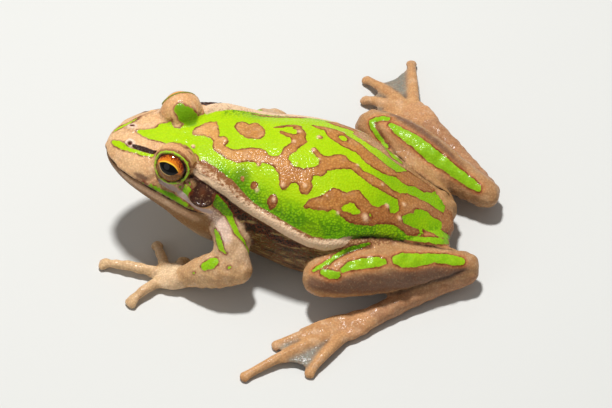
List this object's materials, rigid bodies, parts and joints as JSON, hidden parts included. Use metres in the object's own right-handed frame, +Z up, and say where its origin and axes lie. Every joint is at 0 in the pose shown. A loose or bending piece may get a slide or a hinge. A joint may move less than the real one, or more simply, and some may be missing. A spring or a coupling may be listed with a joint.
{
  "type": "green and golden bell frog",
  "caption": "Still, life-size green and golden bell frog, crouched with its legs folded, head turned a little to its left, webbed feet spread, belly and digits flat on the floor.",
  "frame": {"origin": "on the floor, under the middle of the frog's outline box", "axes": "-X towards the snout, -Y towards the frog's left side, +Z up"},
  "size_m": [0.0864, 0.0988, 0.0328],
  "materials": {
    "green_skin": "moist green skin with copper blotches and small warts",
    "copper_skin": "moist copper-tan skin with green bands",
    "throat_skin": "moist pale granular skin",
    "web_skin": "moist thin grey-blue webbing over tan toes",
    "ear_drum_skin": "moist dark brown skin",
    "eye": "wet gloss, copper and gold iris with a level black pupil"
  },
  "bodies": {
    "root": {"head": "green_skin", "lower_jaw": "throat_skin", "torso": "green_skin", "eye_left": "eye", "eye_right": "eye", "ear_drum_left": "ear_drum_skin", "ear_drum_right": "ear_drum_skin", "upper_arm_left": "copper_skin", "forearm_left": "copper_skin", "hand_left": "copper_skin", "finger_1_left": "copper_skin", "finger_2_left": "copper_skin", "finger_3_left": "copper_skin", "finger_4_left": "copper_skin", "upper_arm_right": "copper_skin", "forearm_right": "copper_skin", "hand_right": "copper_skin", "finger_1_right": "copper_skin", "finger_2_right": "copper_skin", "finger_3_right": "copper_skin", "finger_4_right": "copper_skin", "thigh_left": "copper_skin", "shank_left": "copper_skin", "tarsus_left": "copper_skin", "foot_left": "web_skin", "toe_1_left": "web_skin", "toe_2_left": "web_skin", "toe_3_left": "web_skin", "toe_4_left": "web_skin", "toe_5_left": "web_skin", "thigh_right": "copper_skin", "shank_right": "copper_skin", "tarsus_right": "copper_skin", "foot_right": "web_skin", "toe_1_right": "web_skin", "toe_2_right": "web_skin", "toe_3_right": "web_skin", "toe_4_right": "web_skin", "toe_5_right": "web_skin"}
  },
  "joints": []
}
